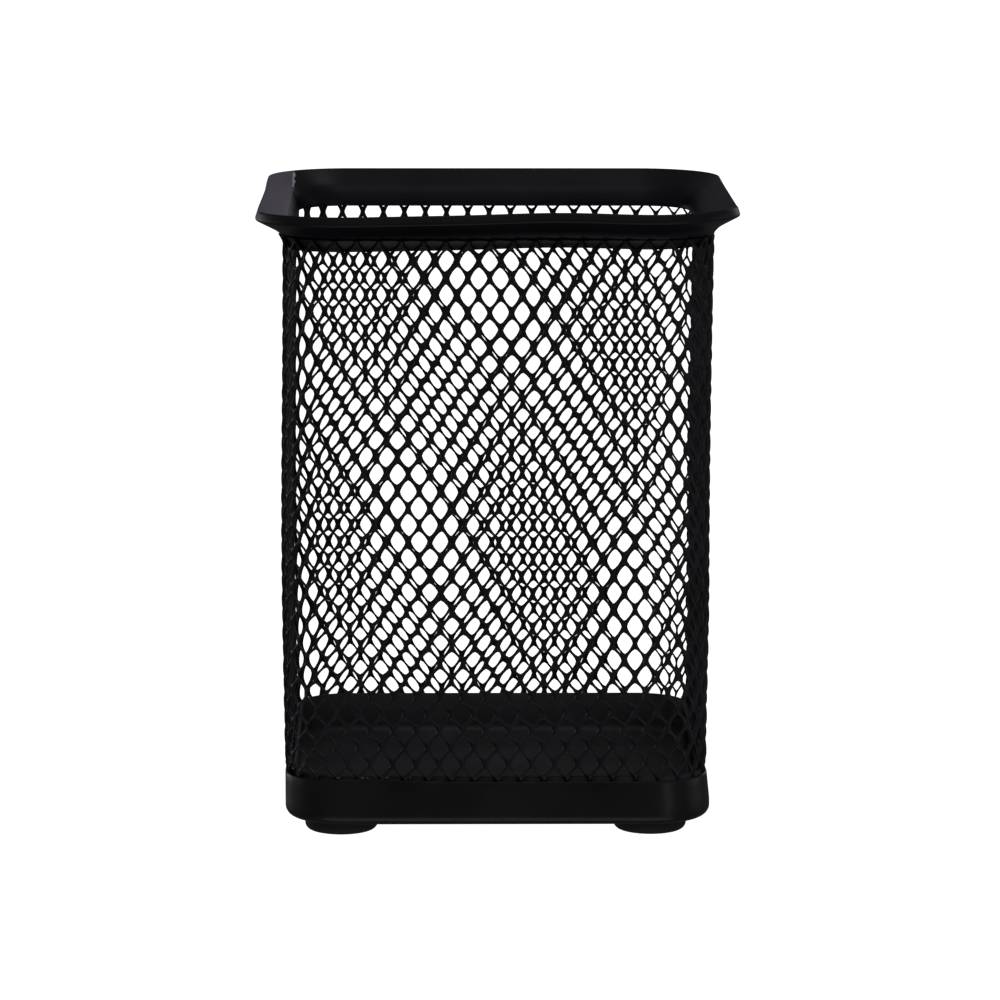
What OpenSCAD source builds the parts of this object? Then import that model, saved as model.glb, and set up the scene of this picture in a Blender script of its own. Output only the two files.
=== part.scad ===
// Square desk cup for pens: a sleeve of expanded steel mesh, a flared rim welded inside its top,
// and a pressed base that grips its lower edge and stands on four rubber feet.
// Z = 0 is the desk, and the cup's axis is the Z axis. The front wall faces -Y.

/* [Cup] */
// Overall width and depth, over the rim's lip
rim_w = 80; // [72:1:110]
// Overall height, from the desk to the top of the lip
cup_h = 106; // [80:1:140]
// Outside radius of the sleeve's upright corners
corner_r = 10; // [8:0.5:14]

/* [Mesh] */
// Thickness of the expanded sheet
mesh_t = 0.6; // [0.4:0.1:0.8]
// Wanted width of a cell, rounded so that each quarter of the sleeve holds whole cells
cell_w = 3.7; // [3.2:0.1:6]
// Height of a cell
cell_h = 5.9; // [5:0.1:9]
// Metal left between two openings side by side
bond_w = 0.8; // [0.6:0.05:1.4]
// Metal left between two openings one above the other
bond_h = 0.9; // [0.7:0.1:1.6]

/* [Rim] */
// Height of the flange inside the sleeve
flange_h = 1.8; // [1:0.1:6]
// Thickness of the rim's strip
rim_t = 0.8; // [0.5:0.1:1]
// How far the lip stands out past the sleeve
flare_w = 4; // [3:0.25:5]
// Angle of the flare above the horizontal
flare_angle = 28; // [20:1:40]
// Height of the upright lip above the flare's bend
lip_h = 1; // [0.6:0.1:2]
// Outer radius of the bend from the flare into the lip
lip_bend_r = 1.2; // [1.1:0.1:1.6]

/* [Base] */
// Height of the band round the foot of the sleeve
band_h = 7.7; // [6:0.1:12]
// Thickness of the band's strip
band_t = 0.5; // [0.4:0.1:0.8]
// How far the band's lower edge is turned in under the pan
band_lip_w = 3.5; // [3.25:0.25:4.5]
// Outer radius of the band's lower edge
band_edge_r = 1; // [0.9:0.1:1.4]
// Thickness of the pan
pan_t = 0.6; // [0.4:0.1:1]
// Outer radius of the bend between the pan's floor and wall
pan_bend_r = 1.8; // [1.2:0.1:2.2]
// How far the pan's wall stands up past the band
pan_rise = 0.3; // [0.1:0.1:0.6]

/* [Feet] */
// Diameter of a foot
foot_d = 12.4; // [8:0.2:16]
// Clear height between the desk and the band
foot_gap = 2.9; // [2:0.1:5]
// Gap between a foot and the band's turned-in edge
foot_clear = 0.2; // [0.1:0.1:3]
// Radius of a foot's lower edge
foot_edge_r = 1.2; // [0.6:0.1:1.6]

/* [Hidden] */

$fn = 64;
arc_steps = 8;
cut_over = 1;
steel_black = "#1a1a1d";
rubber_black = "#0f0f10";

body_w = rim_w - 2 * flare_w;
flat_w = body_w - 2 * corner_r;

// Rim heights, from the lip down to the place where the strip leaves the sleeve
lip_bend_z = cup_h - lip_h;
flare_root_r = 0.5;
flare_end = [flare_w - lip_bend_r * (1 - sin(flare_angle)), lip_bend_z - lip_bend_r * cos(flare_angle)];
flare_root_u = flare_root_r * (1 - sin(flare_angle)) - mesh_t;
flare_root_z = flare_end[1] - (flare_end[0] - flare_root_u) * tan(flare_angle);
flange_top_z = flare_root_z - flare_root_r * cos(flare_angle);
flange_low_z = flange_top_z - flange_h;

// Base heights
band_top_z = foot_gap + band_h;
pan_low_z = foot_gap + band_t;
pan_top_z = band_top_z + pan_rise;

// The sleeve runs from the bottom of the band's channel to the flare
mesh_low_z = foot_gap + band_edge_r;
mesh_h = flange_top_z - mesh_low_z;
first_row = 0.3;

// Cells round one quarter of the sleeve, measured along the middle of the sheet
mid_r = corner_r - mesh_t / 2;
corner_len = PI / 2 * mid_r;
quarter_len = flat_w + corner_len;
quarter_cells = round(quarter_len / cell_w);
pitch = quarter_len / quarter_cells;
opening_w = pitch - bond_w;
opening_h = cell_h - bond_h;
row_step = cell_h / 2;
last_row = floor((mesh_h - first_row + opening_h / 2) / row_step);

// Feet, as far into the corners as the band's turned-in edge lets them go
foot_r = foot_d / 2;
inner_r = corner_r - band_lip_w;
foot_inset = max(foot_r + foot_clear, inner_r - (inner_r - foot_r - foot_clear) / sqrt(2));
foot_at = body_w / 2 - band_lip_w - foot_inset;

// Points of an arc about [u, z], from angle a0 to a1
function arc(u, z, r, a0, a1) =
    [for (i = [0 : arc_steps]) let (a = a0 + (a1 - a0) * i / arc_steps) [u + r * cos(a), z + r * sin(a)]];

// A section is drawn in [u, z]: u is the distance out from the sleeve's outer face.
// This draws the straight run of a section along the front wall, and the bend at its right end.
module quarter_ring(section) {
    translate([flat_w / 2, -body_w / 2, 0])
        rotate([90, 0, -90])
            linear_extrude(flat_w)
                polygon(section);
    translate([flat_w / 2, -flat_w / 2, 0])
        rotate([0, 0, -90])
            rotate_extrude(angle = 90)
                polygon([for (p = section) [corner_r + p[0], p[1]]]);
}

module ring(section) {
    for (side = [0 : 3])
        rotate([0, 0, 90 * side])
            quarter_ring(section);
}

module cell_opening() {
    polygon([[0, opening_h / 2], [opening_w / 2, 0], [0, -opening_h / 2], [-opening_w / 2, 0]]);
}

// Centres along the sleeve of the cells of a row that reach into [middle - reach, middle + reach]
function row_cells(row, middle, reach) =
    let (shift = row % 2 == 0 ? 0 : pitch / 2, span = reach + opening_w / 2)
    [for (k = [ceil((middle - span - shift) / pitch) : floor((middle + span - shift) / pitch)])
        k * pitch + shift - middle];

function row_z(row) = flange_top_z - first_row - row * row_step;

module mesh_wall(side) {
    color(steel_black)
        rotate([0, 0, 90 * side])
            translate([0, mesh_t - body_w / 2, 0])
                rotate([90, 0, 0])
                    linear_extrude(mesh_t)
                        difference() {
                            translate([-flat_w / 2, mesh_low_z])
                                square([flat_w, mesh_h]);
                            for (row = [0 : last_row], s = row_cells(row, 0, flat_w / 2))
                                translate([s, row_z(row)])
                                    cell_opening();
                        }
}

// The sheet's bend between two walls, with the same cells cut square to the curve
module mesh_corner(side) {
    color(steel_black)
        rotate([0, 0, 90 * side - 90])
            translate([flat_w / 2, flat_w / 2, 0])
                difference() {
                    rotate_extrude(angle = 90)
                        translate([corner_r - mesh_t, mesh_low_z])
                            square([mesh_t, mesh_h]);
                    for (row = [0 : last_row], s = row_cells(row, quarter_len / 2, corner_len / 2))
                        rotate([0, 0, 45 + s / mid_r * 180 / PI])
                            translate([corner_r - mesh_t - cut_over, 0, row_z(row)])
                                rotate([90, 0, 90])
                                    linear_extrude(mesh_t + 2 * cut_over)
                                        cell_opening();
                }
}

// One rolled strip: an upright flange inside the sleeve, a flare over its edge, and a lip
module top_rim() {
    edge_r = rim_t / 2;
    color(steel_black)
        ring(concat(
            [[-mesh_t, flange_low_z]],
            arc(flare_root_r - mesh_t, flange_top_z, flare_root_r, 180, 90 + flare_angle),
            arc(flare_w - lip_bend_r, lip_bend_z, lip_bend_r, flare_angle - 90, 0),
            arc(flare_w - edge_r, cup_h - edge_r, edge_r, 0, 180),
            arc(flare_w - lip_bend_r, lip_bend_z, lip_bend_r - rim_t, 0, flare_angle - 90),
            arc(flare_root_r - mesh_t, flange_top_z, flare_root_r + rim_t, 90 + flare_angle, 180),
            [[-mesh_t - rim_t, flange_low_z]]
        ));
}

// Outer strip of the base: it covers the sleeve's lower edge and turns in under the pan
module base_band() {
    edge_u = band_t - band_edge_r;
    color(steel_black)
        ring(concat(
            [[-band_lip_w, foot_gap]],
            arc(edge_u, foot_gap + band_edge_r, band_edge_r, -90, 0),
            arc(band_t / 2, band_top_z - band_t / 2, band_t / 2, 0, 90),
            [[0, band_top_z]],
            arc(edge_u, foot_gap + band_edge_r, band_edge_r - band_t, 0, -90),
            [[-band_lip_w, pan_low_z]]
        ));
}

// Pressed floor with an upturned wall inside the sleeve
module base_pan() {
    wall_u = -mesh_t;
    bend_u = wall_u - pan_bend_r;
    bend_z = pan_low_z + pan_bend_r;
    color(steel_black) {
        ring(concat(
            arc(bend_u, bend_z, pan_bend_r, -90, 0),
            [[wall_u, pan_top_z], [wall_u - pan_t, pan_top_z]],
            arc(bend_u, bend_z, pan_bend_r - pan_t, 0, -90)
        ));
        translate([0, 0, pan_low_z])
            linear_extrude(pan_t)
                rounded_square(body_w + 2 * bend_u, corner_r + bend_u);
    }
}

module rounded_square(w, r) {
    square([w, w - 2 * r], center = true);
    square([w - 2 * r, w], center = true);
    for (x = [-1, 1], y = [-1, 1])
        translate([x * (w / 2 - r), y * (w / 2 - r)])
            circle(r);
}

// Rubber pad stuck under the pan, inside the band's turned-in edge
module foot(x_side, y_side) {
    color(rubber_black)
        translate([x_side * foot_at, y_side * foot_at, 0])
            rotate_extrude()
                polygon(concat(
                    [[0, 0]],
                    arc(foot_r - foot_edge_r, foot_edge_r, foot_edge_r, -90, 0),
                    [[foot_r, pan_low_z], [0, pan_low_z]]
                ));
}

mesh_wall(0);  // mesh_front
mesh_wall(1);  // mesh_right
mesh_wall(2);  // mesh_back
mesh_wall(3);  // mesh_left
mesh_corner(0);  // mesh_corner_front_right
mesh_corner(1);  // mesh_corner_back_right
mesh_corner(2);  // mesh_corner_back_left
mesh_corner(3);  // mesh_corner_front_left
top_rim();
base_band();
base_pan();
foot(-1, -1);  // foot_front_left
foot(1, -1);  // foot_front_right
foot(1, 1);  // foot_back_right
foot(-1, 1);  // foot_back_left
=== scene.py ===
import math

import bpy
import numpy as np
from mathutils import Matrix, Vector
from mathutils.bvhtree import BVHTree


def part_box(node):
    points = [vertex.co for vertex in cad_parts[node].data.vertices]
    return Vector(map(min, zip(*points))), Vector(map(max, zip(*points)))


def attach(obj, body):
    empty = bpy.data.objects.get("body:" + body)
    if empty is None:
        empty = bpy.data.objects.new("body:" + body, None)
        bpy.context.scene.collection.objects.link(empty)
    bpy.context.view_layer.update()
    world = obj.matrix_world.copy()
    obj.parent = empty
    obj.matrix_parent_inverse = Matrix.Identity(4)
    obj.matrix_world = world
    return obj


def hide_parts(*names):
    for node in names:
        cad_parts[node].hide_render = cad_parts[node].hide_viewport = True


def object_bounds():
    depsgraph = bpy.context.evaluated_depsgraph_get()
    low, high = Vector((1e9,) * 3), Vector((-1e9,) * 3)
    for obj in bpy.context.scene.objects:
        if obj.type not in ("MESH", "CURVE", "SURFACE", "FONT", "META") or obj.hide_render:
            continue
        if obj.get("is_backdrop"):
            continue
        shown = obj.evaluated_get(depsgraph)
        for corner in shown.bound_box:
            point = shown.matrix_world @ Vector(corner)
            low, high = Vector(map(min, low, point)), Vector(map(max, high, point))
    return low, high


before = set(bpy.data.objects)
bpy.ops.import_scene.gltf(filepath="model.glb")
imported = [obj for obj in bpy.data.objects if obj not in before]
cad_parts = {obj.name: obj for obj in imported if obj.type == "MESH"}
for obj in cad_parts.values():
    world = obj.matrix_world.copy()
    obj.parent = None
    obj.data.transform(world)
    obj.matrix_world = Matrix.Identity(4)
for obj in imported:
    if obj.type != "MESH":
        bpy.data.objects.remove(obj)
cad_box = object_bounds()


# ---- The view ----
# The picture is taken with a long lens from a little above the rim and nearly square to the front wall.
# The camera's place and turn are those that put the cup's outlines on the image points below.
CAMERA_AT = Vector((-0.0130, -0.8659, 0.1957))
CAMERA_TURNED_RIGHT = math.radians(0.909)
CAMERA_TIPPED_DOWN = math.radians(9.411)
CAMERA_ROLLED = math.radians(0.103)
LENS_MM = 182.05
SENSOR_MM = 36.0
SHIFT_X = 0.0
SHIFT_Y = 0.0
PICTURE_W = 1000
PICTURE_H = 1000
PICTURE_LONG = max(PICTURE_W, PICTURE_H)
# The cup stands between these distances from the camera
CUP_NEAR, CUP_FAR = 0.75, 1.05

camera_data = bpy.data.cameras.new("camera")
camera_data.lens = LENS_MM
camera_data.sensor_width = SENSOR_MM
camera_data.sensor_fit = "AUTO"
camera_data.shift_x = SHIFT_X
camera_data.shift_y = SHIFT_Y
camera_data.clip_start = 0.01
camera_data.clip_end = 100.0
camera = bpy.data.objects.new("camera", camera_data)
bpy.context.scene.collection.objects.link(camera)
camera.matrix_world = (
    Matrix.Translation(CAMERA_AT)
    @ Matrix.Rotation(-CAMERA_TURNED_RIGHT, 4, "Z")
    @ Matrix.Rotation(math.pi / 2 - CAMERA_TIPPED_DOWN, 4, "X")
    @ Matrix.Rotation(CAMERA_ROLLED, 4, "Z")
)
bpy.context.scene.camera = camera
bpy.context.view_layer.update()

# Where things show in the picture, x to the right and y down
SEEN = {
    "left_edge": (255.7, 215.5),
    "right_edge": (739.3, 211.6),
    "top_edge": (500.0, 168.7),
    "bottom_edge": (648.5, 833.6),
    "rim_front_dip": (330.0, 217.5),
    "rim_front_crest": (540.0, 213.0),
    "rim_back_left": (268.5, 174.7),
    "rim_back_right": (719.0, 176.0),
    "flange_low": (500.0, 249.7),
    "band_top": (500.0, 782.0),
    "band_low": (500.0, 823.9),
    "band_left": (286.0, 804.0),
    "band_right": (708.0, 804.0),
    "foot_left": (341.7, 833.5),
    "front_bond": (497.2, 714.1),
    "back_bond": (489.0, 213.0),
    "rim_joint": (293.0, 190.5),
    "coat_bead": (362.0, 778.0),
}


def place_on(name, carrier):
    """Where the ray through a named image point meets the carrier's tree, and the surface's normal there.
    The ray runs from the camera along (x - W/2 + shift_x L, H/2 - y + shift_y L, -L lens/sensor)
    in the camera's own axes, where L is the picture's longer side. A ray that misses takes the place on the
    carrier that is nearest to the ray, of the places tried along the cup's depth."""
    x, y = SEEN[name]
    ray = Vector((
        x - PICTURE_W / 2 + SHIFT_X * PICTURE_LONG,
        PICTURE_H / 2 - y + SHIFT_Y * PICTURE_LONG,
        -PICTURE_LONG * LENS_MM / SENSOR_MM,
    ))
    ray = (camera.matrix_world.to_3x3() @ ray).normalized()
    place, normal, _, _ = carrier.ray_cast(CAMERA_AT, ray)
    if place is None:
        tries = [carrier.find_nearest(CAMERA_AT + ray * float(a)) for a in np.linspace(CUP_NEAR, CUP_FAR, 1201)]
        place, normal, _, _ = min(tries, key=lambda t: t[3])
    return place, normal


# ---- Base band ----
# A strip of steel, rolled to the cup's outline and pressed: its face covers the sleeve's lower edge and
# its own lower edge turns in under the pan. It is spot-welded to both, then powder-coated with the rest.
MM = 0.001
wall_low, wall_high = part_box("mesh_front")
rim_low, rim_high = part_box("top_rim")
HALF_W = -wall_low.y
FLAT = wall_high.x - wall_low.x
CORNER_R = HALF_W - FLAT / 2
SHEET_T = wall_high.y - wall_low.y
MID_R = CORNER_R - SHEET_T / 2
QUARTER = FLAT + math.pi / 2 * MID_R


def around(s, u, z):
    """Points on a square with round corners: s is the way round along the middle of the sheet, from the
    middle of the front wall to the viewer's right, u the distance out from the sleeve's face, z the height.
    Each quarter runs straight for the flat's length and then turns about its corner's centre."""
    side = np.floor((s + FLAT / 2) / QUARTER)
    t = s - side * QUARTER
    turn = np.clip(t - FLAT / 2, 0, None) / MID_R
    x = np.minimum(t, FLAT / 2) + (CORNER_R + u) * np.sin(turn)
    y = -FLAT / 2 - (CORNER_R + u) * np.cos(turn)
    c, k = np.cos(side * math.pi / 2), np.sin(side * math.pi / 2)
    return np.stack([x * c - y * k, x * k + y * c, z + 0 * x], -1)


def arc(u, z, r, first, last, steps):
    """Points of an arc from one angle in degrees to another: u + r cos a, z + r sin a."""
    a = np.radians(np.linspace(first, last, steps + 1))
    return np.stack([u + r * np.cos(a), z + r * np.sin(a)], -1)


def piece(name, points, faces, material, replaced, smooth=True, caps=()):
    """A mesh piece from an array of points and one of faces, which are turned to point outwards: the sum of
    each face's centre times its area, as a vector, is negative where they point in. Each cap is a ring of
    points that one flat face closes, listed the way round that suits the faces."""
    p = points[faces]
    area = np.cross(p[:, 2] - p[:, 0], p[:, 3] - p[:, 1]) / 2
    loops = faces.tolist() + [list(c) for c in caps]
    if ((p.mean(1) - points.mean(0)) * area).sum() < 0:
        loops = [f[::-1] for f in loops]
    mesh = bpy.data.meshes.new(name)
    mesh.from_pydata(points, [], loops)
    shaded = np.concatenate([np.broadcast_to(smooth, len(faces)), np.zeros(len(caps), bool)])
    mesh.polygons.foreach_set("use_smooth", shaded)
    mesh.materials.append(material)
    mesh.update()
    made = bpy.data.objects.new(name, mesh)
    bpy.context.scene.collection.objects.link(made)
    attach(made, "root")
    if replaced:
        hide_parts(*replaced)
    return made


def grid_faces(rows, columns, rows_close, columns_close):
    """Four-sided faces over a grid of points: each joins a point, numbered row times columns plus column, to the
    next in its row and to the same two in the next row. A row or column that closes meets the first again."""
    r = np.arange(rows if rows_close else rows - 1)[:, None]
    c = np.arange(columns if columns_close else columns - 1)[None, :]
    r1, c1 = (r + 1) % rows, (c + 1) % columns
    return np.stack([r * columns + c, r * columns + c1, r1 * columns + c1, r1 * columns + c], -1).reshape(-1, 4)


def ring_stations(flat_steps, corner_steps):
    """Stations of s round all four sides, even along each flat and even round each corner."""
    flat = np.linspace(-FLAT / 2, FLAT / 2, flat_steps + 1)[:-1]
    corner = np.linspace(FLAT / 2, QUARTER - FLAT / 2, corner_steps + 1)[:-1]
    quarter = np.concatenate([flat, corner])
    return (quarter[None, :] + QUARTER * np.arange(4)[:, None]).ravel()


def ramp(nodes, links, value, stops):
    """A colour ramp on a value, from a list of places and colours."""
    r = nodes.new("ShaderNodeValToRGB")
    while len(r.color_ramp.elements) < len(stops):
        r.color_ramp.elements.new(0.5)
    for e, (at, colour) in zip(r.color_ramp.elements, stops):
        e.position = at
        e.color = (*colour, 1)
    links.new(value, r.inputs["Fac"])
    return r.outputs["Color"]


def coat_material(name, dark, pale, rough, peel_size, peel_depth):
    """Powder coat: two near-blacks drift over the surface, the gloss drifts with them, and a noise of the
    coat's own orange-peel size lifts the surface. rough is the lowest and highest roughness."""
    m = bpy.data.materials.new(name)
    m.use_nodes = True
    n, l = m.node_tree.nodes, m.node_tree.links
    shader = n["Principled BSDF"]
    shader.inputs["Metallic"].default_value = 0.0
    shader.inputs["Specular IOR Level"].default_value = 0.5
    where = n.new("ShaderNodeTexCoord").outputs["Object"]
    drift = n.new("ShaderNodeTexNoise")
    drift.inputs["Scale"].default_value = 90.0
    drift.inputs["Detail"].default_value = 4.0
    l.new(where, drift.inputs["Vector"])
    l.new(ramp(n, l, drift.outputs["Fac"], [(0.3, dark), (0.7, pale)]), shader.inputs["Base Color"])
    gloss = n.new("ShaderNodeMapRange")
    gloss.inputs["From Min"].default_value = 0.3
    gloss.inputs["From Max"].default_value = 0.7
    gloss.inputs["To Min"].default_value = rough[0]
    gloss.inputs["To Max"].default_value = rough[1]
    l.new(drift.outputs["Fac"], gloss.inputs["Value"])
    l.new(gloss.outputs["Result"], shader.inputs["Roughness"])
    peel = n.new("ShaderNodeTexNoise")
    peel.inputs["Scale"].default_value = 1 / peel_size
    peel.inputs["Detail"].default_value = 2.0
    l.new(where, peel.inputs["Vector"])
    bump = n.new("ShaderNodeBump")
    bump.inputs["Strength"].default_value = 1.0
    bump.inputs["Distance"].default_value = peel_depth
    l.new(peel.outputs["Fac"], bump.inputs["Height"])
    l.new(bump.outputs["Normal"], shader.inputs["Normal"])
    return m


# The sleeve is pressed in where the band wraps it, so that the band's face stands flush with the mesh
FLUSH = 0.46 * MM
BAND_T = 0.5 * MM
BAND_EDGE_R = 1.7 * MM
BAND_LIP_W = 3.5 * MM
band_coat = coat_material(
    "band_coat", (0.0105, 0.0103, 0.0115), (0.0180, 0.0172, 0.0205), (0.28, 0.36), 0.35 * MM, 0.006 * MM
)


def wall_plane(y):
    """An upright plane across the cup, as wide and as high as a wall, that image points are laid on."""
    x, z = wall_high.x * 2, rim_high.z
    corners = [Vector((-x, y, 0)), Vector((x, y, 0)), Vector((x, y, z)), Vector((-x, y, z))]
    return BVHTree.FromPolygons(corners, [(0, 1, 2, 3)])


band_z0 = place_on("band_low", wall_plane(BAND_EDGE_R - HALF_W))[0].z
band_z1 = place_on("band_top", wall_plane(-HALF_W))[0].z
band_u = BAND_T - FLUSH
edge_u = band_u - BAND_EDGE_R
stations = ring_stations(20, 14)
band_section = np.concatenate([
    [[-BAND_LIP_W, band_z0]],
    arc(edge_u, band_z0 + BAND_EDGE_R, BAND_EDGE_R, -90, 0, 8),
    [[band_u, band_z0 + (band_z1 - band_z0) * k] for k in (0.35, 0.5, 0.65, 0.8)],
    arc(band_u - BAND_T / 2, band_z1 - BAND_T / 2, BAND_T / 2, 0, 180, 8),
    arc(edge_u, band_z0 + BAND_EDGE_R, BAND_EDGE_R - BAND_T, 0, -90, 6),
    [[-BAND_LIP_W, band_z0 + BAND_T]],
])

# The band's top edge leans in at the front right corner and stands higher on the left of the front wall.
# Each is a place on the way round, a reach and a size.
BAND_LEAN = (46 * MM, 14 * MM, -0.60 * MM)
BAND_RISE = (-23 * MM, 9 * MM, 0.50 * MM)


def swell(s, place, reach, height):
    """A bell along the way round: height exp(-(s - place)^2 / reach^2)."""
    off = (s - place + 2 * QUARTER) % (4 * QUARTER) - 2 * QUARTER
    return height * np.exp(-((off / reach) ** 2))


band_s, band_out, band_z = np.broadcast_arrays(
    stations[:, None], band_section[None, :, 0], band_section[None, :, 1]
)
band_share = np.clip((band_z - band_z0) / (band_z1 - band_z0), 0, 1)
band_out = band_out + swell(band_s, *BAND_LEAN) * np.clip(band_share * 1.5 - 0.5, 0, 1)
band_z = band_z + swell(band_s, *BAND_RISE) * band_share ** 3
band_points = around(band_s, band_out, band_z).reshape(-1, 3)
band_faces = grid_faces(len(stations), len(band_section), True, True)
base_band = piece("base_band_strip", band_points, band_faces, band_coat, ["base_band"])


# ---- Base pan ----
# The cup's floor: a sheet pressed into a shallow tray, whose upturned wall stands inside the sleeve and is
# spot-welded through it to the band. Only its wall shows through the mesh, and its floor from above.
pan_low, pan_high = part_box("base_pan")
PAN_T = 0.6 * MM
PAN_BEND_R = 1.8 * MM
PAN_TOP_EDGE = 0.15 * MM
# Painted light: the pan's coat is painted about three times paler than the band's, though it is the same powder, to
# light its wall and floor inside the cup
pan_coat_painted_light = coat_material(
    "pan_coat_painted_light", (0.034, 0.034, 0.037), (0.056, 0.054, 0.060), (0.46, 0.56), 0.40 * MM, 0.006 * MM
)
pan_wall = -SHEET_T - FLUSH
bend_u = pan_wall - PAN_BEND_R
bend_z = pan_low.z + PAN_BEND_R
pan_section = np.concatenate([
    arc(bend_u, bend_z, PAN_BEND_R, -90, 0, 8),
    [[pan_wall, pan_high.z - PAN_TOP_EDGE], [pan_wall - PAN_TOP_EDGE, pan_high.z]],
    [[pan_wall - PAN_T + PAN_TOP_EDGE, pan_high.z], [pan_wall - PAN_T, pan_high.z - PAN_TOP_EDGE]],
    arc(bend_u, bend_z, PAN_BEND_R - PAN_T, 0, -90, 6),
])


def drawn_in(ring, shares):
    """A ring drawn in towards the cup's axis: each point keeps its height and takes a share of its distance."""
    flat = np.array([1.0, 1.0, 0.0])
    return ring[:, None] * (1 - flat + flat * np.asarray(shares)[None, :, None])


skirt = around(*np.broadcast_arrays(stations[:, None], pan_section[None, :, 0], pan_section[None, :, 1]))
inwards = np.linspace(0, 1, 8)[1:-1]
pan_grid = np.concatenate([drawn_in(skirt[:, 0], inwards), skirt, drawn_in(skirt[:, -1], inwards[::-1])], 1)
across = pan_grid.shape[1]
pan_ends = np.arange(len(stations)) * across
base_pan = piece(
    "base_pan_tray", pan_grid.reshape(-1, 3), grid_faces(len(stations), across, True, False), pan_coat_painted_light,
    ["base_pan"], caps=(pan_ends.tolist(), (pan_ends + across - 1)[::-1].tolist()),
)


# ---- Feet ----
# Four round pads of black rubber, moulded with a soft lower edge and stuck under the pan, one in each
# corner inside the band's turned-in edge. They carry the cup.
rubber = coat_material(
    "foot_rubber", (0.026, 0.023, 0.026), (0.040, 0.036, 0.039), (0.62, 0.74), 0.5 * MM, 0.012 * MM
)
FOOT_EDGE_R = 1.2 * MM
FOOT_TOP_EDGE = 0.2 * MM
FOOT_SIDES = 64
# The pad's flat faces are closed by caps inside this share of its radius
FOOT_CAP = 0.3
# The two front feet were stuck a little to the left of their places
STUCK_LEFT = {"foot_front_left": 0.45 * MM, "foot_front_right": 0.20 * MM}
feet = []
for foot in ("foot_front_left", "foot_front_right", "foot_back_right", "foot_back_left"):
    low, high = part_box(foot)
    low.x, high.x = low.x - STUCK_LEFT.get(foot, 0), high.x - STUCK_LEFT.get(foot, 0)
    middle_x, middle_y, foot_r = (low.x + high.x) / 2, (low.y + high.y) / 2, (high.x - low.x) / 2
    profile = np.concatenate([
        [[FOOT_CAP * foot_r, 0.0]],
        arc(foot_r - FOOT_EDGE_R, FOOT_EDGE_R, FOOT_EDGE_R, -90, 0, 8),
        [[foot_r, high.z - FOOT_TOP_EDGE], [foot_r - FOOT_TOP_EDGE, high.z], [FOOT_CAP * foot_r, high.z]],
    ])
    angle = np.linspace(0, 2 * math.pi, FOOT_SIDES + 1)[:-1, None]
    pad = np.stack(np.broadcast_arrays(
        middle_x + profile[None, :, 0] * np.cos(angle),
        middle_y + profile[None, :, 0] * np.sin(angle),
        profile[None, :, 1],
    ), -1)
    ends = np.arange(FOOT_SIDES) * len(profile)
    feet.append(piece(
        foot + "_pad", pad.reshape(-1, 3), grid_faces(FOOT_SIDES, len(profile), True, False), rubber,
        [foot], caps=(ends.tolist(), (ends + len(profile) - 1)[::-1].tolist()),
    ))


# ---- Mesh sleeve ----
# One strip of expanded steel sheet, slit, stretched into upright diamonds, wound round the cup and welded shut.
# The rim's flange, the band and the pan grip its edges. Each cell is a ring of points round its opening, from
# the strand's outer crest over its edge to its inner crest.
ROUND = 4 * QUARTER
# The even lattice: whole cells round each quarter, in rows that step down by half a cell from the top row
CELL_W = 3.7 * MM
CELLS_ROUND = 4 * round(QUARTER / CELL_W)
PITCH = ROUND / CELLS_ROUND
CELL_H = 5.9 * MM
ROW_STEP = CELL_H / 2
TOP_ROW_Z = wall_high.z - 0.05 * MM
ROWS = int((TOP_ROW_Z - wall_low.z) / ROW_STEP) + 1
# The height of a bond, the strand's thickness, its twist in the sheet, and the opening's size at front and back
BOND_H = 1.25 * MM
STRAND_T = 0.45 * MM
TWIST = -0.32 * MM
OPENING_POWER = 1.37
OPENING_ANGLES = (0, 24, 45, 66, 90, 114, 135, 156, 180, 204, 225, 246, 270, 294, 315, 336)
OPEN_FRONT = (2.98 * MM, 3.85 * MM)
OPEN_BACK = (2.93 * MM, 4.07 * MM)
# The strand's rounded shoulder: how far from crest to edge it stands, and its share of the half thickness
SHOULDER = 0.74
SHOULDER_LIFT = 0.94
# What is left of the half cells that the rim and the band cover
PRESSED = 0.02
# Points closer than this are one
MERGE = 0.002 * MM
MESH_SHEEN = 0.38
mesh_coat = coat_material(
    "mesh_coat", (0.019, 0.0185, 0.022), (0.032, 0.030, 0.037), (0.34, 0.44), 0.22 * MM, 0.005 * MM
)
mesh_coat.node_tree.nodes["Principled BSDF"].inputs["Specular IOR Level"].default_value = MESH_SHEEN

# How the stretched sheet lies on the front and back walls: the width of its cells and the height of its rows,
# how they lean and climb, and how they fan, crowd, arch and tighten away from the wall's middle. All in mm.
MIDDLE_H = 60
FRONT_SHEET = dict(
    cell=3.803, row=2.947, lean=0.0073, climb=0.0059, fan=-0.049, crowd=-0.0133, arch=0.043, tighten=0.023
)
BACK_SHEET = dict(
    cell=3.781, row=2.994, lean=-0.0097, climb=-0.0140, fan=0.022, crowd=-0.0228, arch=-0.012, tighten=-0.008
)


def lie(cells, rows, sheet, x0=0.0, z0=0.0):
    """Where the sheet's cells lie on a flat wall: X = x0 + cells c + lean Z + fan XZ + crowd X^3 and
    Z = z0 - rows r + climb X + arch X^2 + tighten Z^2, with Z from MIDDLE_H up, in centimetres in the products
    and powers. The right side starts from the plain lattice and is worked out twice. The counts of cells and
    rows have no unit, and the rest is in mm."""
    plain_x, plain_z = x0 + cells * sheet["cell"], z0 - rows * sheet["row"]
    x, z = plain_x, plain_z
    for _ in range(2):
        up, x_cm, z_cm = z - MIDDLE_H, x / 10, (z - MIDDLE_H) / 10
        x, z = (
            plain_x + sheet["lean"] * up + sheet["fan"] * x_cm * z_cm + sheet["crowd"] * x_cm ** 3,
            plain_z + sheet["climb"] * x + sheet["arch"] * x_cm ** 2 + sheet["tighten"] * z_cm ** 2,
        )
    return x, z


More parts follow.
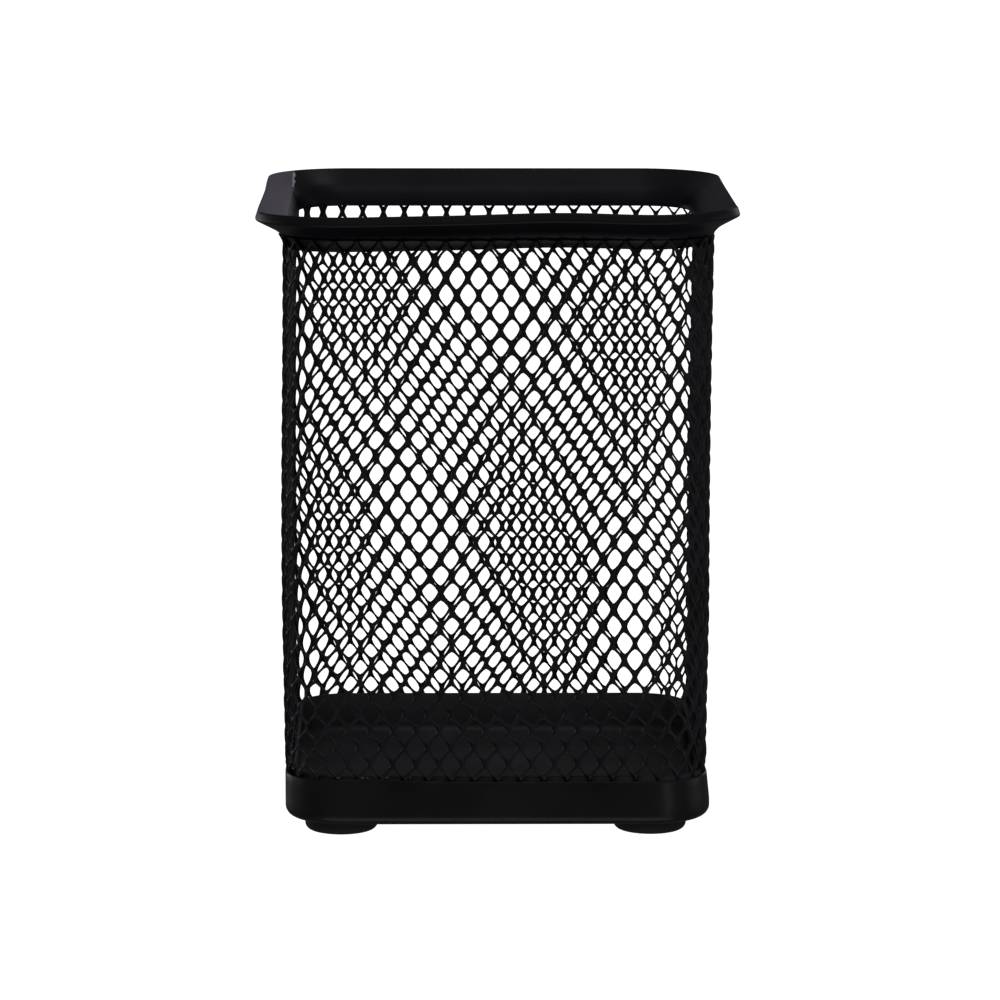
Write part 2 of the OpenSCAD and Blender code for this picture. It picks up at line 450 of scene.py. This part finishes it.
def start_of(bond, sheet):
    """The sheet's start x0 and z0, in mm, that put one of its bonds on a place on the wall."""
    x, z = bond.x / MM, bond.z / MM
    rows = round((TOP_ROW_Z / MM - z) / sheet["row"])
    shift = 0.5 if rows % 2 == 0 else 0.0
    cells = round(x / sheet["cell"] - shift) + shift
    x0, z0 = x - cells * sheet["cell"], z + rows * sheet["row"]
    for _ in range(4):
        lies_x, lies_z = lie(cells, rows, sheet, x0, z0)
        x0, z0 = x0 + x - lies_x, z0 + z - lies_z
    return x0, z0


def opening(width, height):
    """A rounded diamond: |x/half width|^n + |z/half height|^n = 1, at angles that crowd to its ends."""
    a = np.radians(OPENING_ANGLES)
    c, k = np.cos(a), np.sin(a)
    c[np.abs(c) < 1e-9] = 0
    k[np.abs(k) < 1e-9] = 0
    x = width / 2 * np.sign(c) * np.abs(c) ** (2 / OPENING_POWER)
    z = height / 2 * np.sign(k) * np.abs(k) ** (2 / OPENING_POWER)
    return x, z


def crest():
    """The cell's border, along the middle of its strands: a hexagon with upright sides at the bonds. Its sixteen
    points start on the right, like the opening's, and run the same way round."""
    side, bond, tip = PITCH / 2, BOND_H / 2, CELL_H / 2 - BOND_H / 2
    share = np.array([[0, 0], [0, 0], [1 / 3, 1 / 3], [2 / 3, 2 / 3]])
    up = np.array([[side, 0], [side, bond], [side, bond], [side, bond]]) + share * [-side, tip - bond]
    top = np.array([[0, tip]])
    h = np.concatenate([up, top, up[::-1] * [-1, 1], up[1:] * [-1, -1], top * [1, -1], up[1:][::-1] * [1, -1]])
    return h[:, 0], h[:, 1]


front_start = start_of(place_on("front_bond", wall_plane(SHEET_T / 2 - HALF_W))[0], FRONT_SHEET)
back_start = start_of(place_on("back_bond", wall_plane(HALF_W - SHEET_T / 2))[0], BACK_SHEET)


def fade(value, start, end):
    """A smooth step: 1 before start, 0 after end, and 3t^2 - 2t^3 between them."""
    t = np.clip((value - end) / (start - end), 0, 1)
    return t * t * (3 - 2 * t)


# The sheet's own lattice starts between these heights, in mm, and fades out round the side walls from this
# share of the way to a corner
HIDDEN_H = (4, 12)
SIDE_BLEND = 0.9


def wound(s, z):
    """The even lattice as it is stretched and wound: it moves with the front sheet on the front wall and with
    the back sheet on the back wall, and fades between them on the side walls. Hidden rows behind the band
    keep their even places, and the pressed half row at the top is drawn up to the sleeve's top edge."""
    way = np.abs(s) / MM
    rows = (TOP_ROW_Z - z) / ROW_STEP
    reach = QUARTER / 2 / MM
    front_s = np.clip(s / MM, -reach, reach)
    x, lies = lie(front_s * MM / PITCH, rows, FRONT_SHEET, *front_start)
    front_x, front_z = x - front_s, lies - z / MM
    back_s = np.clip(np.where(s < 0, -ROUND / 2, ROUND / 2) / MM - s / MM, -reach, reach)
    x, lies = lie(back_s * MM / PITCH, rows, BACK_SHEET, *back_start)
    back_x, back_z = x - back_s, lies - z / MM
    to_front = fade(way, reach * SIDE_BLEND, 2 * reach)
    to_back = fade(ROUND / 2 / MM - way, reach * SIDE_BLEND, 2 * reach)
    seen = 1 - fade(z / MM, *HIDDEN_H)
    moved_z = (to_front * front_z + to_back * back_z) * seen
    lowered = np.minimum(z + moved_z * MM, TOP_ROW_Z)
    over = np.clip((z - TOP_ROW_Z) / (PRESSED * (CELL_H - BOND_H) / 2), 0, 1)
    return s + (to_front * front_x - to_back * back_x) * MM, lowered + over * (wall_high.z - lowered)


# The sleeve bows out on its left and leans in on its right, its top row spreads with the rim, and it is tucked in
# behind the band between two heights measured from the band's top edge
BOW_LEFT = 0.52 * MM
LEAN_RIGHT = 0.47 * MM
PINCH_RIGHT = 0.75 * MM
TOP_SPREAD = 0.40 * MM
SPREAD_H = 1.9 * MM
PINCH_SHARE = 0.35
TUCK_FROM, TUCK_TO = -0.3 * MM, 1.6 * MM


def bowed(s, z):
    """How far the sleeve stands out at a place: the left wall bows by a squared sine of the height, the right
    wall leans in, more towards its foot, below the band's top edge the sheet is pressed in by FLUSH, and the
    top row spreads with the rim's bend, by a square of the height, more on the left than on the right."""
    right = np.sin(2 * math.pi * s / ROUND)
    rise = np.clip((z - band_z1) / (wall_high.z - band_z1), 0, 1)
    left_part = np.clip(-right, 0, 1) * BOW_LEFT * np.sin(math.pi * rise ** 0.8) ** 2
    leaning = LEAN_RIGHT * np.sin(math.pi * rise) + PINCH_RIGHT * fade(rise, 0.0, PINCH_SHARE)
    right_part = np.clip(right, 0, 1) * leaning
    spread = TOP_SPREAD * (1 - right) * np.clip((z - wall_high.z + SPREAD_H) / SPREAD_H, 0, 1) ** 2
    return left_part - right_part + spread - FLUSH * fade(z, band_z1 + TUCK_FROM, band_z1 + TUCK_TO)


crest_x, crest_z = crest()
RING = len(crest_x)
row = np.repeat(np.arange(ROWS), CELLS_ROUND)
column = np.tile(np.arange(CELLS_ROUND), ROWS)
cell_s = (column - CELLS_ROUND // 2) * PITCH + (row % 2) * PITCH / 2
cell_z = TOP_ROW_Z - row * ROW_STEP
back_share = (1 - np.cos(2 * math.pi * cell_s / ROUND)) / 2
front_x, front_z = opening(*OPEN_FRONT)
back_x, back_z = opening(*OPEN_BACK)
edge_x = front_x + (back_x - front_x) * back_share[:, None]
edge_z = front_z + (back_z - front_z) * back_share[:, None]
tilt = TWIST * np.cos(np.arctan2(front_z, front_x))
half_t = STRAND_T / 2
shares = np.array([0.0, SHOULDER, 1.0, SHOULDER, 0.0])
MIDDLE_U = -SHEET_T / 2
lifts = half_t * np.array([1.0, SHOULDER_LIFT, 0.0, -SHOULDER_LIFT, -1.0])
local_s = crest_x[None, :, None] + (edge_x - crest_x)[:, :, None] * shares
local_z = crest_z[None, :, None] + (edge_z - crest_z)[:, :, None] * shares
local_u = lifts + tilt[:, None] * shares + 0 * local_s
# The first row is cut off by the rim and the last by the band: their outer halves are pressed flat
local_z = np.where((row[:, None, None] == 0) & (local_z > 0), local_z * PRESSED, local_z)
local_z = np.where((row[:, None, None] == ROWS - 1) & (local_z < 0), local_z * PRESSED, local_z)
all_s = cell_s[:, None, None] + local_s
all_z = cell_z[:, None, None] + local_z


def sleeve_part(name, chosen, replaced):
    """The chosen cells as one closed mesh: points that neighbours share are merged, and the border between
    outer and inner crest is closed with faces that are shaded flat."""
    s, z, u = all_s[chosen], all_z[chosen], local_u[chosen]
    key = np.round(np.stack([s, z, u], -1).reshape(-1, 3) / MERGE).astype(np.int64)
    _, first, index = np.unique(key, axis=0, return_index=True, return_inverse=True)
    index = index.reshape(len(s), RING, len(shares))
    after = np.roll(index, -1, axis=1)
    faces = np.stack([index[:, :, :-1], after[:, :, :-1], after[:, :, 1:], index[:, :, 1:]], -1).reshape(-1, 4)
    outer = np.stack([index[:, :, 0], after[:, :, 0], after[:, :, -1], index[:, :, -1]], -1).reshape(-1, 4)
    _, back, count = np.unique(np.sort(outer[:, :2], 1), axis=0, return_inverse=True, return_counts=True)
    closing = outer[count[back.ravel()] == 1][:, ::-1]
    flat_s, flat_z, flat_u = s.ravel()[first], z.ravel()[first], u.ravel()[first]
    ws, wz = wound(flat_s, flat_z)
    points = around(ws, MIDDLE_U + flat_u + bowed(ws, wz), wz)
    smooth = np.repeat([True, False], [len(faces), len(closing)])
    return piece(name, points, np.concatenate([faces, closing]), mesh_coat, replaced, smooth)


middle_s, _ = wound(cell_s, cell_z)
place_s = np.mod(middle_s + FLAT / 2, ROUND)
side_of = np.floor(place_s / QUARTER).astype(int)
in_corner = place_s - side_of * QUARTER > FLAT
WALLS = ["mesh_front", "mesh_right", "mesh_back", "mesh_left"]
CORNERS = ["mesh_corner_front_right", "mesh_corner_back_right", "mesh_corner_back_left", "mesh_corner_front_left"]
sleeve = []
for side in range(4):
    for node, bend in ((WALLS[side], False), (CORNERS[side], True)):
        sleeve.append(sleeve_part(node + "_strands", (side_of == side) & (in_corner == bend), [node]))


# ---- Top rim ----
# A strip of steel rolled to a short flange, a flare and a folded lip. The flange stands inside the sleeve's
# top edge and is spot-welded to it. The lip isn't quite straight: it dips and rises along the front.
RIM_T = 0.8 * MM
ROOT_R = 4.0 * MM
FLARE_ANGLE = 28.0
SLOPE_ANGLE = 36.0
TIP_R = 0.5 * MM
TIP_U = 3.85 * MM
TIP_DROP = 1.25 * MM
LIP_LEAN = 19.0
LIP_R = 0.38 * MM
LIP_U = 3.70 * MM
rim_coat = coat_material(
    "rim_coat", (0.0060, 0.0058, 0.0085), (0.0105, 0.0100, 0.0155), (0.34, 0.42), 0.35 * MM, 0.006 * MM
)
# How far under the sleeve's top edge the centres of the root bend's outer and inner faces are
ROOT_DROP_UNDER = 2.11 * MM
ROOT_DROP_INNER = 1.59 * MM
FLANGE_PROUD = 0.10 * MM
FLANGE_THIN = 0.15 * MM
root_u = ROOT_R - SHEET_T
under_z = wall_high.z - ROOT_DROP_UNDER
inner_z = wall_high.z - ROOT_DROP_INNER
rim_section = np.concatenate([
    [[-SHEET_T - FLANGE_PROUD, rim_low.z]],
    arc(root_u, under_z, ROOT_R, 175, 90 + FLARE_ANGLE, 10),
    arc(TIP_U, rim_high.z - TIP_DROP, TIP_R, FLARE_ANGLE - 90, LIP_LEAN, 8),
    arc(LIP_U, rim_high.z - LIP_R, LIP_R, LIP_LEAN, 90 + SLOPE_ANGLE, 8),
    arc(root_u, inner_z, ROOT_R + RIM_T, 90 + SLOPE_ANGLE, 182, 10),
    [[-SHEET_T - RIM_T + FLANGE_THIN, rim_low.z]],
])

# How the rolled rim strays from true, up or down and then in or out: places on the way round, reaches and sizes
CREST = (10 * MM, 13 * MM, 0.51 * MM)
DIP = (-27 * MM, 12 * MM, -0.25 * MM)
LEFT_DROOP = (-41 * MM, 7 * MM, -0.42 * MM)
RIGHT_RISE = (35 * MM, 7 * MM, 0.38 * MM)
LEFT_OUT = (-41 * MM, 9 * MM, 0.25 * MM)
LEFT_IN = (-76 * MM, 19 * MM, -0.22 * MM)
RIGHT_IN = (80 * MM, 24 * MM, -0.14 * MM)
rim_stations = ring_stations(28, 18)
rim_s, rim_u, rim_z = np.broadcast_arrays(rim_stations[:, None], rim_section[None, :, 0], rim_section[None, :, 1])
rim_z = rim_z + swell(rim_s, *CREST) + swell(rim_s, *DIP) + swell(rim_s, *LEFT_DROOP) + swell(rim_s, *RIGHT_RISE)
strays_out = swell(rim_s, *LEFT_OUT) + swell(rim_s, *LEFT_IN) + swell(rim_s, *RIGHT_IN)
rim_u = rim_u + strays_out * np.clip(rim_u / TIP_U, 0, 1)
rim_points = around(rim_s, rim_u, rim_z).reshape(-1, 3)
top_rim = piece(
    "top_rim_strip", rim_points, grid_faces(len(rim_stations), len(rim_section), True, True), rim_coat,
    ["top_rim"],
)


# ---- Joint in the rim ----
# The rim's strip closes in the back left corner, where its end is laid over the other and welded, and the weld
# stands up as a rough ridge across the flare. Left of the joint the flare's coat is painted paler, as a painted
# reflection, and given one roughness. The weld's pale coat is a painted highlight.
# Painted reflection: the left flare's bright face is painted into the rim's coat as this paler colour, with this
# roughness
PAINTED_REFLECTION_COLOUR = (0.17, 0.155, 0.20)
REFLECTION_PATCH_ROUGH = 0.42
# Where the painted reflection starts and ends: across the joint, along the cup's left side, and above the mesh
REFLECTION_PATCH_BLEND = 0.12 * MM
REFLECTION_PATCH_FRONT = (-30.0 * MM, -28.5 * MM)
REFLECTION_PATCH_FOOT = (wall_high.z + 0.4 * MM, wall_high.z + 0.9 * MM)
JOINT_R = 0.24 * MM
JOINT_RUN = (0.1 * MM, 3.15 * MM)


def points_of(o):
    """A finished piece's points, as an array."""
    co = np.zeros(len(o.data.vertices) * 3, np.float32)
    o.data.vertices.foreach_get("co", co)
    return co.reshape(-1, 3).astype(float)


def tree_of(*pieces):
    """One search tree over some finished pieces: their points end to end, and their faces' corners counted on."""
    points, faces = [], []
    for o in pieces:
        corners = np.zeros(len(o.data.loops), np.int32)
        o.data.loops.foreach_get("vertex_index", corners)
        first = np.zeros(len(o.data.polygons), np.int32)
        o.data.polygons.foreach_get("loop_start", first)
        faces += [f.tolist() for f in np.split(corners + len(points), first[1:])]
        points += points_of(o).tolist()
    return BVHTree.FromPolygons(points, faces)


joint_at = place_on("rim_joint", tree_of(top_rim))[0]
nodes, links = rim_coat.node_tree.nodes, rim_coat.node_tree.links
rim_shader = nodes["Principled BSDF"]
rim_place = nodes.new("ShaderNodeSeparateXYZ")
links.new(nodes.new("ShaderNodeTexCoord").outputs["Object"], rim_place.inputs[0])


def step_node(value, start, end):
    """A smooth step on a coordinate of the rim, from 0 at start to 1 at end: 3t^2 - 2t^3 between them."""
    step = nodes.new("ShaderNodeMapRange")
    step.interpolation_type = "SMOOTHSTEP"
    step.inputs["From Min"].default_value = start
    step.inputs["From Max"].default_value = end
    links.new(value, step.inputs["Value"])
    return step.outputs["Result"]


def times(one, two):
    """The product of two node values in the rim's coat."""
    product = nodes.new("ShaderNodeMath")
    product.operation = "MULTIPLY"
    links.new(one, product.inputs[0])
    links.new(two, product.inputs[1])
    return product.outputs["Value"]


# The mask of the painted reflection: left of the joint, behind the front, and above the mesh
left_of_joint = step_node(rim_place.outputs["X"], joint_at.x + REFLECTION_PATCH_BLEND, joint_at.x - REFLECTION_PATCH_BLEND)
behind_front = step_node(rim_place.outputs["Y"], *REFLECTION_PATCH_FRONT)
above_mesh = step_node(rim_place.outputs["Z"], *REFLECTION_PATCH_FOOT)
painted_reflection_patch = times(times(left_of_joint, behind_front), above_mesh)
# Mixes the painted reflection's paler colour and its roughness into the rim's coat
for socket, data_type, kind, pale in (
    ("Base Color", "RGBA", "RGBA", (*PAINTED_REFLECTION_COLOUR, 1)), ("Roughness", "FLOAT", "VALUE", REFLECTION_PATCH_ROUGH),
):
    mix = nodes.new("ShaderNodeMix")
    mix.data_type = data_type
    plain_end, painted_reflection_end = [i for i in mix.inputs if i.name in ("A", "B") and i.type == kind]
    links.new(rim_shader.inputs[socket].links[0].from_socket, plain_end)
    painted_reflection_end.default_value = pale
    links.new(painted_reflection_patch, mix.inputs[0])
    links.new([o for o in mix.outputs if o.type == kind][0], rim_shader.inputs[socket])


def tube(path, radius, sides):
    """A closed tube: circles of the given radii, in planes across the path, carried from its start to its end.
    Its circles turn about the path's direction crossed with the vertical."""
    along = np.gradient(path, axis=0)
    along /= np.linalg.norm(along, axis=1)[:, None]
    across = np.cross(along, [0.0, 0.3, 1.0])
    across /= np.linalg.norm(across, axis=1)[:, None]
    up = np.cross(across, along)
    a = np.linspace(0, 2 * math.pi, sides + 1)[:-1]
    circle = np.cos(a)[None, :, None] * across[:, None] + np.sin(a)[None, :, None] * up[:, None]
    rings = path[:, None] + radius[:, None, None] * circle
    last = (len(path) - 1) * sides + np.arange(sides)
    ends = (np.arange(sides)[::-1].tolist(), last.tolist())
    return rings.reshape(-1, 3), grid_faces(len(path), sides, False, True), ends


# The weld's pale coat is a painted highlight: the bright line along the joint is painted into its colour
weld_painted_highlight = coat_material("weld_painted_highlight", (0.35, 0.34, 0.36), (0.75, 0.73, 0.78), (0.30, 0.40), 0.3 * MM, 0.02 * MM)
joint_u = np.linspace(*JOINT_RUN, 26)
joint_y = FLAT / 2 + np.sqrt((CORNER_R + joint_u) ** 2 - (joint_at.x + FLAT / 2) ** 2)
slope_end = root_u + (ROOT_R + RIM_T) * math.cos(math.radians(90 + SLOPE_ANGLE))
bend_height = inner_z + np.sqrt((ROOT_R + RIM_T) ** 2 - (root_u - np.minimum(joint_u, slope_end)) ** 2)
joint_z = bend_height + np.clip(joint_u - slope_end, 0, None) * math.tan(math.radians(SLOPE_ANGLE))
ripple = np.sin(joint_u / (0.31 * MM)) * np.cos(joint_u / (0.13 * MM))
joint_path = np.stack([joint_at.x + 0.10 * MM * ripple, joint_y, joint_z], -1)
joint_r = JOINT_R * (1 + 0.35 * np.cos(joint_u / (0.2 * MM)))
joint_points, joint_faces, joint_caps = tube(joint_path, joint_r, 8)
rim_joint = piece("rim_joint_weld", joint_points, joint_faces, weld_painted_highlight, [], caps=joint_caps)


# ---- Beads of coat ----
# Where the powder ran together along the band's top edge it set as small glossy beads on the front wall. Their coat
# is painted paler than the band's, as painted glints.
BEAD_AT = (-4.0, 0.0, 0.9, 4.2, 8.0)
BEAD_SIZE = (0.22, 0.26, 0.17, 0.24, 0.15)
BEAD_STRETCH = 1.5
BEAD_SUNK = 0.05 * MM
BEAD_RINGS, BEAD_SIDES = 7, 12
# Painted glints: the beads' coat is paler than the band's, though it is the same powder
bead_painted_glint_coat = coat_material(
    "bead_painted_glint_coat", (0.05, 0.05, 0.055), (0.09, 0.09, 0.095), (0.12, 0.18), 0.3 * MM, 0.002 * MM
)
first_bead = place_on("coat_bead", wall_plane(-HALF_W))[0]
# A ball drawn out along the band: rings of x = stretch cos(rise) cos(turn), y = cos(rise) sin(turn), z = sin(rise)
rise = np.linspace(-math.pi / 2, math.pi / 2, BEAD_RINGS + 2)[1:-1, None]
turn = np.linspace(0, 2 * math.pi, BEAD_SIDES + 1)[None, :-1]
ball = np.stack(np.broadcast_arrays(
    BEAD_STRETCH * np.cos(rise) * np.cos(turn), np.cos(rise) * np.sin(turn), np.sin(rise)
), -1).reshape(-1, 3)
lowest = np.arange(BEAD_SIDES)
bead_caps = (lowest[::-1].tolist(), (lowest + (BEAD_RINGS - 1) * BEAD_SIDES).tolist())
bead_faces = grid_faces(BEAD_RINGS, BEAD_SIDES, False, True)
beads = []
for number, (off, size) in enumerate(zip(BEAD_AT, BEAD_SIZE)):
    middle = np.array([first_bead.x + off * MM, -HALF_W - band_u + BEAD_SUNK, first_bead.z])
    beads.append(piece(
        "coat_bead_%d" % number, ball * size * MM + middle, bead_faces, bead_painted_glint_coat,
        [], caps=bead_caps,
    ))


# ---- Stage: floor, light and surroundings ----
# A plain white sheet that the cup stands on and that fills the picture, a dim surround, and ten soft lights.
# The sheet glows too brightly for a shadow to show on it, and it casts no light or shadow on the cup.
FLOOR_HALF = 20.0
FLOOR_Z = -0.2 * MM
floor_mesh = bpy.data.meshes.new("floor")
floor_mesh.from_pydata(
    [(x * FLOOR_HALF, y * FLOOR_HALF, FLOOR_Z) for x, y in ((-1, -1), (1, -1), (1, 1), (-1, 1))], [], [(0, 1, 2, 3)]
)
floor = bpy.data.objects.new("floor", floor_mesh)
bpy.context.scene.collection.objects.link(floor)
floor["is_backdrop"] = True
floor_paint = bpy.data.materials.new("floor_paint")
floor_paint.use_nodes = True
paint = floor_paint.node_tree.nodes["Principled BSDF"]
paint.inputs["Base Color"].default_value = (0.9, 0.9, 0.9, 1)
paint.inputs["Emission Color"].default_value = (1, 1, 1, 1)
paint.inputs["Emission Strength"].default_value = 1.1
floor_mesh.materials.append(floor_paint)
floor.visible_glossy = False
floor.visible_diffuse = False
floor.visible_shadow = False

world = bpy.data.worlds.new("studio")
bpy.context.scene.world = world
world.use_nodes = True
surround = world.node_tree.nodes["Background"]
surround.inputs["Strength"].default_value = 0.055
surround.inputs["Color"].default_value = (0.97, 0.95, 1.0, 1)


def soft_light(name, at, toward, width, height, brightness, colour):
    """A rectangular soft light at one point, turned to face another. Its watts are its brightness, where a
    white floor is 1, times its area times pi."""
    data = bpy.data.lights.new(name, "AREA")
    data.shape = "RECTANGLE"
    data.size, data.size_y = width, height
    data.energy = brightness * width * height * math.pi
    data.color = colour
    light = bpy.data.objects.new(name, data)
    bpy.context.scene.collection.objects.link(light)
    light.location = at
    light.rotation_euler = (Vector(toward) - Vector(at)).to_track_quat("-Z", "Y").to_euler()
    light.visible_camera = False
    return light


soft_light("top_light", (0.1, -0.3, 0.9), (0, 0, 0.05), 0.5, 0.5, 0.20, (1.0, 0.98, 0.97))
soft_light("high_light", (0.38, 0.47, 1.5), (0, 0, 0.1), 0.4, 0.4, 0.65, (1.0, 0.98, 1.0))
soft_light("front_high_light", (0.0, -1.5, 0.95), (0, 0, 0.1), 0.9, 0.35, 0.13, (1.0, 0.99, 1.0))
soft_light("back_right_light", (1.15, 2.2, 0.40), (0, 0, 0.1), 1.2, 0.9, 0.46, (0.97, 0.94, 1.0))
soft_light("back_left_light", (-1.9, 1.9, 0.0), (0, 0, 0.05), 1.5, 0.9, 0.80, (0.97, 0.96, 1.0))
soft_light("left_light", (-2.4, 0.5, 0.0), (0, 0, 0.05), 1.2, 0.9, 0.25, (0.97, 0.96, 1.0))
soft_light("right_light", (2.4, 0.3, 0.1), (0, 0, 0.05), 1.4, 0.9, 0.34, (1.0, 0.98, 1.0))
soft_light("front_right_light", (1.12, -1.70, -0.2), (0, 0, 0.05), 0.3, 0.7, 0.95, (1.0, 0.98, 1.0))
soft_light("low_light", (0.0, -0.30, -0.35), (0, 0, 0.06), 0.6, 0.3, 0.38, (1.0, 1.0, 1.0))
fill_light = soft_light("fill_light", (0.0, -0.35, 0.8), (0, 0, 0.05), 0.6, 0.6, 1.3, (1.0, 0.98, 1.0))
fill_light.visible_glossy = False
bpy.context.scene.view_settings.view_transform = "Standard"


# ---- Where things show, and the sizes ----
def image_xy(points):
    """Where points show in the picture: x and y in pixels from its upper left corner."""
    inside = np.array(camera.matrix_world.inverted())
    p = np.c_[points, np.ones(len(points))] @ inside.T
    scale = PICTURE_LONG * LENS_MM / SENSOR_MM / -p[:, 2]
    return np.stack([
        PICTURE_W / 2 - SHIFT_X * PICTURE_LONG + p[:, 0] * scale,
        PICTURE_H / 2 + SHIFT_Y * PICTURE_LONG - p[:, 1] * scale,
    ], -1)


everything = tree_of(base_band, base_pan, top_rim, *feet, *sleeve)
HIDDEN_BY = 0.4 * MM


def edge_seen(name, pieces, way, reach_x, reach_y):
    """How far an edge of some pieces is from its image point: among the points within reach of it that nothing
    hides from the camera, the one furthest along way, an image direction, measured along that direction. A
    point counts as hidden when its ray meets something more than HIDDEN_BY in front of it."""
    at = np.array(SEEN[name])
    p = np.concatenate([points_of(o) for o in pieces])
    xy = image_xy(p)
    near = (np.abs(xy - at) < [reach_x, reach_y]).all(1)
    order = np.argsort(-(xy[near] @ np.array(way)))
    for place, seen_at in zip(p[near][order], xy[near][order]):
        ray = Vector(place) - CAMERA_AT
        hit = everything.ray_cast(CAMERA_AT, ray.normalized())[3]
        if hit is None or hit > ray.length - HIDDEN_BY:
            off = (seen_at - at) @ np.array(way)
            return [float(off * way[0]), float(off * way[1])]
    return None


def place_seen(name, place):
    """How far a placed thing is from its image point."""
    return [float(v) for v in image_xy(np.array([place]))[0] - np.array(SEEN[name])]


def bond_seen(name, start, sheet, y):
    """How far the nearest bond of a wall's sheet is from its image point."""
    rows, cells = np.meshgrid(np.arange(ROWS), np.arange(-8, 9) * 1.0)
    cells = cells + 0.5 * (rows % 2 == 0)
    x, z = lie(cells.ravel(), rows.ravel(), sheet, *start)
    off = image_xy(np.stack([x * MM, y + 0 * x, z * MM], -1)) - np.array(SEEN[name])
    return [float(v) for v in off[np.argmin((off ** 2).sum(1))]]


LEFT, RIGHT, UP, DOWN = (-1, 0), (1, 0), (0, -1), (0, 1)
FRONT_MIDDLE_Y, BACK_MIDDLE_Y = SHEET_T / 2 - HALF_W, HALF_W - SHEET_T / 2
points_seen = {
    "left_edge": edge_seen("left_edge", [top_rim], LEFT, 12, 12),
    "right_edge": edge_seen("right_edge", [top_rim], RIGHT, 12, 12),
    "top_edge": edge_seen("top_edge", [top_rim], UP, 12, 12),
    "bottom_edge": edge_seen("bottom_edge", feet, DOWN, 12, 8),
    "rim_front_dip": edge_seen("rim_front_dip", [top_rim], UP, 8, 6),
    "rim_front_crest": edge_seen("rim_front_crest", [top_rim], UP, 8, 6),
    "rim_back_left": edge_seen("rim_back_left", [top_rim], UP, 5, 8),
    "rim_back_right": edge_seen("rim_back_right", [top_rim], UP, 5, 8),
    "flange_low": edge_seen("flange_low", [top_rim], DOWN, 30, 8),
    "band_top": edge_seen("band_top", [base_band], UP, 30, 8),
    "band_low": edge_seen("band_low", [base_band], DOWN, 30, 8),
    "band_left": edge_seen("band_left", [base_band], LEFT, 12, 20),
    "band_right": edge_seen("band_right", [base_band], RIGHT, 12, 20),
    "foot_left": edge_seen("foot_left", feet, DOWN, 12, 8),
    "front_bond": bond_seen("front_bond", front_start, FRONT_SHEET, FRONT_MIDDLE_Y),
    "back_bond": bond_seen("back_bond", back_start, BACK_SHEET, BACK_MIDDLE_Y),
    "rim_joint": place_seen("rim_joint", joint_path[np.argmin(np.abs(joint_path[:, 2] - joint_at.z))]),
    "coat_bead": place_seen("coat_bead", points_of(beads[1]).mean(0)),
}

sizes = {"cad": cad_box, "visual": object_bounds()}
sizes = {name: [[float(v) for v in corner] for corner in box] for name, box in sizes.items()}
